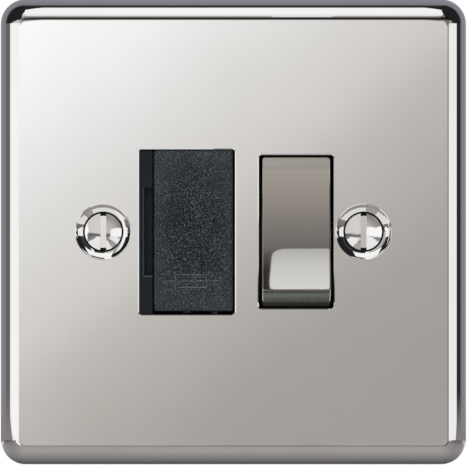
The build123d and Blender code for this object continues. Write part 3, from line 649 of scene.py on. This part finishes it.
def floor(level, half):
    """Pale floor fading to white; other rays see it grey, with a painted shadow under the plate, paler far
    behind.
    """
    corners = [(-half, -half, level), (half, -half, level), (half, half, level), (-half, half, level)]
    mesh = bpy.data.meshes.new("floor")
    mesh.from_pydata(corners, [], [(0, 1, 2, 3)])
    piece = bpy.data.objects.new("floor", mesh)
    scene.collection.objects.link(piece)
    paint = Finish("floor", metallic=0.0)
    grain = paint.noise(scale=30.0, detail=4.0, rough=0.5)
    x, h, _ = paint.place()
    wide = paint.size(x)
    away = paint.largest(paint.span(h, FLOOR_FAR_H), paint.span(wide, FLOOR_FAR_SIDE))
    bounce = paint.mix(away, paint.mix(grain, *FLOOR_NEAR), FLOOR_FAR)
    # Painted shadow: rays other than the camera's see the floor darker under the plate
    under = paint.times(
        paint.span(h, UNDER_FRONT_H, (1.0, 0.0)),
        paint.span(h, UNDER_BACK_H),
        paint.span(wide, UNDER_SIDE, (1.0, 0.0)),
    )
    bounce = paint.mix(under, bounce, FLOOR_PAINTED_SHADOW)
    pale = paint.mix(grain, *FLOOR_PALE)
    bounce = paint.mix(paint.span(h, BEHIND_H, (BEHIND_PALE, 0.0)), bounce, pale)
    seen = paint.camera_ray()
    paint.feed("Base Color", paint.mix(seen, bounce, pale))
    paint.shader.inputs["Roughness"].default_value = FLOOR_ROUGH
    blank = paint.new("Emission")
    blank.inputs["Color"].default_value = (*WHITE, 1.0)
    fade = paint.times(seen, paint.span(paint.length(x, h), FADE_R, smooth=True))
    surface = paint.blend(fade, paint.shader, blank)
    paint.put(paint.tree.nodes["Material Output"].inputs["Surface"], surface)
    mesh.materials.append(paint.material)


floor(FLOOR_Z, FLOOR_HALF)


# Cards that the chrome mirrors

ACROSS = Vector((1, 0, 0))
UPRIGHT = Vector((0, 0, 1))
SQUARE = ((0, 0),) * 4
ROUND_STEPS = 8
TOP_NEAR = Vector((0, -0.121, 0.0584))
TOP_FAR = Vector((0, -0.083, 0.204))
FLAG_GLOW = 0.018


def rounded(corners, cuts, steps):
    """Outline of a four-sided card; each corner is eased over its share of the edge before and after it."""
    points = []
    for i, (before, after) in enumerate(cuts):
        corner = corners[i]
        a = corner.lerp(corners[i - 1], before)
        b = corner.lerp(corners[(i + 1) % 4], after)
        for k in range(steps + 1):
            t = k / steps
            points.append(a.lerp(corner, t).lerp(corner.lerp(b, t), t))
    return points


def card(name, axis, near, near_ends, far, far_ends, glow, cuts=SQUARE, tint=WHITE):
    """Glowing card between two edges, whose ends are given along the axis; the camera doesn't see it."""
    near = Vector(near)
    far = Vector(far)
    way = far - near
    corners = [near + axis * end for end in near_ends] + [far + axis * end for end in reversed(far_ends)]
    points = rounded(corners, cuts, 1 if cuts == SQUARE else ROUND_STEPS)
    mesh = bpy.data.meshes.new(name)
    mesh.from_pydata(points, [], [range(len(points))])
    piece = bpy.data.objects.new(name, mesh)
    scene.collection.objects.link(piece)
    material = bpy.data.materials.new(name)
    material.use_nodes = True
    material.node_tree.nodes.clear()
    light = Graph(material.node_tree)
    along = light.new("VectorMath")
    along.operation = "DOT_PRODUCT"
    light.put(along.inputs[0], light.new("TexCoord").outputs["Object"])
    along.inputs[1].default_value = way / way.length_squared
    share = light.minus(along.outputs["Value"], near.dot(way) / way.length_squared)
    lamp = light.new("Emission")
    stops = [(stop, [level * part for part in tint]) for stop, level in glow]
    light.put(lamp.inputs["Color"], light.ramp(share, stops))
    light.put(light.new("OutputMaterial").inputs["Surface"], lamp.outputs[0])
    mesh.materials.append(material)
    piece.visible_camera = False
    piece.visible_shadow = False


card(
    "top_softbox", ACROSS,
    near=TOP_NEAR.lerp(TOP_FAR, 0.17), near_ends=(-0.075, 0.075),
    far=TOP_FAR, far_ends=(-0.095, 0.095),
    glow=[(0.0, 1.12), (1.0, 1.08)],
)
card(
    "top_panel", ACROSS,
    near=TOP_NEAR, near_ends=(0.0082, 0.0206),
    far=TOP_NEAR.lerp(TOP_FAR, 0.160), far_ends=(0.0075, 0.0206),
    glow=[(0.0, 0.74), (0.35, 0.98), (1.0, 1.16)],
    cuts=((0.2, 0.26), (0.08, 0.1), (0.1, 0.06), (0.08, 0.15)),
    tint=(1.04, 1.08, 1.14),
)
card(
    "right_softbox", UPRIGHT,
    near=(0.12, -0.85, 0.03), near_ends=(-0.150, 0.045),
    far=(0.36, -0.20, 0.03), far_ends=(-0.080, 0.03),
    glow=[(0.0, 0.95), (0.3, 1.02)],
)
card(
    "left_softbox", UPRIGHT,
    near=(-0.22, -0.30, 0.03), near_ends=(-0.086, 0.04),
    far=(-0.3616, -0.20, 0.03), far_ends=(-0.078, 0.04),
    glow=[(0.0, 1.12), (1.0, 1.04)],
)
card(
    "left_reflector", UPRIGHT,
    near=(-0.0448, -0.04, 0.0), near_ends=(-0.047, 0.0405),
    far=(-0.0660, -0.045, 0.0), far_ends=(-0.038, 0.0425),
    glow=[(0.0, 1.08), (1.0, 1.12)],
)
card(
    "top_reflector", ACROSS,
    near=(0, -0.030, 0.0459), near_ends=(-0.0405, 0.0405),
    far=(0, -0.030, 0.0525), far_ends=(-0.042, 0.042),
    glow=[(0.0, 0.92), (1.0, 1.12)],
)
for name, ends in (("low_reflector_left", (-0.100, -0.004)), ("low_reflector_right", (0.0215, 0.100))):
    card(
        name, ACROSS,
        near=(0, -0.036, -0.0414), near_ends=ends,
        far=(0, -0.36, -0.0558), far_ends=ends,
        glow=[(0.0, 0.85), (1.0, 0.95)],
    )
for name, way in (("corner_flag_left", -1), ("corner_flag_right", 1)):
    card(
        name, ACROSS,
        near=(0, -0.030, 0.0425), near_ends=(way * 0.0425, way * 0.09),
        far=(0, -0.030, 0.095), far_ends=(way * 0.037, way * 0.09),
        glow=[(0.0, FLAG_GLOW), (1.0, FLAG_GLOW)],
    )


# Lamps: name, place, what it is aimed at, and watts

LAMP_SIZE = (0.7, 0.5)
ORIGIN = (0.0, 0.0, 0.0)
LAMPS = (
    ("back_fill_left", (-0.38, 0.55, 0.36), ORIGIN, 3.5),
    ("back_fill_right", (0.38, 0.55, 0.36), ORIGIN, 3.5),
    ("back_top_fill", (0.0, 0.62, 0.75), (0.0, 0.62, 0.0), 2.8),
    ("front_fill", (-0.15, -0.85, 0.45), ORIGIN, 3.2),
)
for name, place, aim, power in LAMPS:
    fill = bpy.data.lights.new(name, "AREA")
    fill.shape = "RECTANGLE"
    fill.size, fill.size_y = LAMP_SIZE
    fill.energy = power
    lamp = bpy.data.objects.new(name, fill)
    lamp.location = place
    lamp.rotation_euler = (Vector(aim) - lamp.location).to_track_quat("-Z", "Y").to_euler()
    lamp.visible_camera = False
    lamp.visible_glossy = False
    scene.collection.objects.link(lamp)


# Studio: angles are degrees from straight ahead, where the flat face looks and the wash lies

HALF_TURN = 180.0
WASH_SLOPE = (-0.554, 0.709)
WASH_ENDS = (-0.06, 0.06)
WASH_EDGE = (0.047, 0.060)
WASH = [
    (0.10, (0.435, 0.41, 0.39)),
    (0.30, (0.469, 0.445, 0.422)),
    (0.40, (0.549, 0.525, 0.50)),
    (0.5, (0.645, 0.62, 0.595)),
    (0.55, (0.75, 0.73, 0.715)),
    (0.65, (0.848, 0.838, 0.83)),
    (0.75, (0.96, 0.957, 0.956)),
    (0.85, (1.09, 1.085, 1.085)),
    (0.95, (1.19, 1.19, 1.20)),
]
HAZE = [
    (4.0, (0.64, 0.615, 0.60)),
    (13.0, (0.52, 0.49, 0.475)),
    (20.0, (0.39, 0.37, 0.36)),
    (28.5, (0.265, 0.26, 0.26)),
    (31.0, (0.15, 0.145, 0.145)),
    (36.0, (0.05, 0.048, 0.052)),
]
HAZE_DUSK = (0.025, 0.025, 0.025)
LEFT_HAZE = [
    (4.0, (0.72, 0.70, 0.68)),
    (30.0, (0.66, 0.65, 0.64)),
]
LEFT_DUSK = (0.155, 0.147, 0.144)
LEFT_DX = (-0.1, -0.04)
DUSK = (62.0, 84.0)
BEHIND = [
    (96.0, (0.24, 0.235, 0.265)),
    (125.0, (0.28, 0.275, 0.32)),
    (150.0, (0.29, 0.285, 0.32)),
    (166.0, (0.40, 0.395, 0.42)),
    (180.0, (0.62, 0.615, 0.63)),
]
LOW_TURN = (36.0, 44.0)
LOW_SIDE = (0.27, 0.26, 0.26)
LOW_SIDE_DZ = (-0.042, -0.033)
LOW_FRONT = (0.42, 0.40, 0.385)
LOW_FRONT_DZ = (-0.060, -0.045)
SHADOW_START = (44.0, 52.0)
SHADOW_STOP = (84.0, 96.0)
SHADOW_SLANT = (0.05, 0.08)
SHADOW = (0.018, 0.017, 0.018)
LIFT_TURN = 8.0
LIFT_POWER = 6.0


def half_turns(angles):
    return [angle / HALF_TURN for angle in angles]


def room(sky, turn, haze, dusk):
    """The studio by its angle: lit haze in front, a dusky gap and grey walls behind."""
    stops = haze + [(angle, dusk) for angle in DUSK] + BEHIND
    return sky.ramp(turn, [(angle / HALF_TURN, colour) for angle, colour in stops])


def studio_colour(sky):
    """What the chrome mirrors in each direction."""
    dx, dy, dz = sky.split(sky.new("TexCoord").outputs["Generated"])
    ahead = sky.times(dy, -1.0)
    lift = sky.maths("POWER", sky.largest(dz, 0.0), LIFT_POWER)
    turn = sky.divided(sky.maths("ARCCOSINE", ahead), math.pi)
    turn = sky.plus(turn, sky.times(lift, LIFT_TURN / HALF_TURN))
    slope = sky.plus(sky.times(dx, WASH_SLOPE[0]), sky.times(dz, WASH_SLOPE[1]))
    wash = sky.ramp(sky.span(slope, WASH_ENDS), WASH)
    main = room(sky, turn, HAZE, HAZE_DUSK)
    left = room(sky, turn, LEFT_HAZE, LEFT_DUSK)
    around = sky.mix(sky.span(dx, LEFT_DX, (1.0, 0.0)), main, left)
    turned = sky.span(turn, half_turns(LOW_TURN))
    around = sky.mix(sky.times(sky.span(dz, LOW_SIDE_DZ, (1.0, 0.0)), turned), around, LOW_SIDE)
    frontal = sky.span(turn, half_turns(LOW_TURN), (1.0, 0.0))
    around = sky.mix(sky.times(sky.span(dz, LOW_FRONT_DZ, (1.0, 0.0)), frontal), around, LOW_FRONT)
    shadow = sky.times(
        sky.span(sky.smallest(sky.size(dx), dz), SHADOW_SLANT),
        sky.span(turn, half_turns(SHADOW_STOP), (1.0, 0.0)),
        sky.span(turn, half_turns(SHADOW_START)),
    )
    around = sky.mix(shadow, around, SHADOW)
    aside = sky.largest(sky.size(dx), sky.size(dz))
    front = sky.mix(sky.span(aside, WASH_EDGE), wash, around)
    return sky.mix(sky.above(ahead, 0.0), around, front)


world = bpy.data.worlds.new("studio")
scene.world = world
world.use_nodes = True
world.node_tree.nodes.clear()
sky = Graph(world.node_tree)
lit = sky.new("Background")
sky.put(lit.inputs["Color"], studio_colour(sky))
blank = sky.new("Background")
blank.inputs["Color"].default_value = (*WHITE, 1.0)
sky.put(sky.new("OutputWorld").inputs["Surface"], sky.blend(sky.camera_ray(), lit, blank))

# Camera: square to the plate, which fills the frame

PHOTO_WIDTH = 467
PIXELS_PER_MM = 5.409
SENSOR_WIDTH = 36.0
CAMERA_REACH = 0.9
CAMERA_X = 0.02 * MM
CAMERA_Z = -0.13 * MM
SCALE_PLANE_H = 3.2 * MM
CLIP_START = 0.01
camera = bpy.data.cameras.new("camera")
camera.sensor_width = SENSOR_WIDTH
camera.lens = SENSOR_WIDTH * CAMERA_REACH / (PHOTO_WIDTH / PIXELS_PER_MM * MM)
camera.clip_start = CLIP_START
eye = bpy.data.objects.new("camera", camera)
eye.location = (CAMERA_X, -(CAMERA_REACH + SCALE_PLANE_H), CAMERA_Z)
eye.rotation_euler = (math.pi / 2, 0, 0)
scene.collection.objects.link(eye)
scene.camera = eye

scene.view_settings.view_transform = "Standard"
bpy.context.view_layer.update()
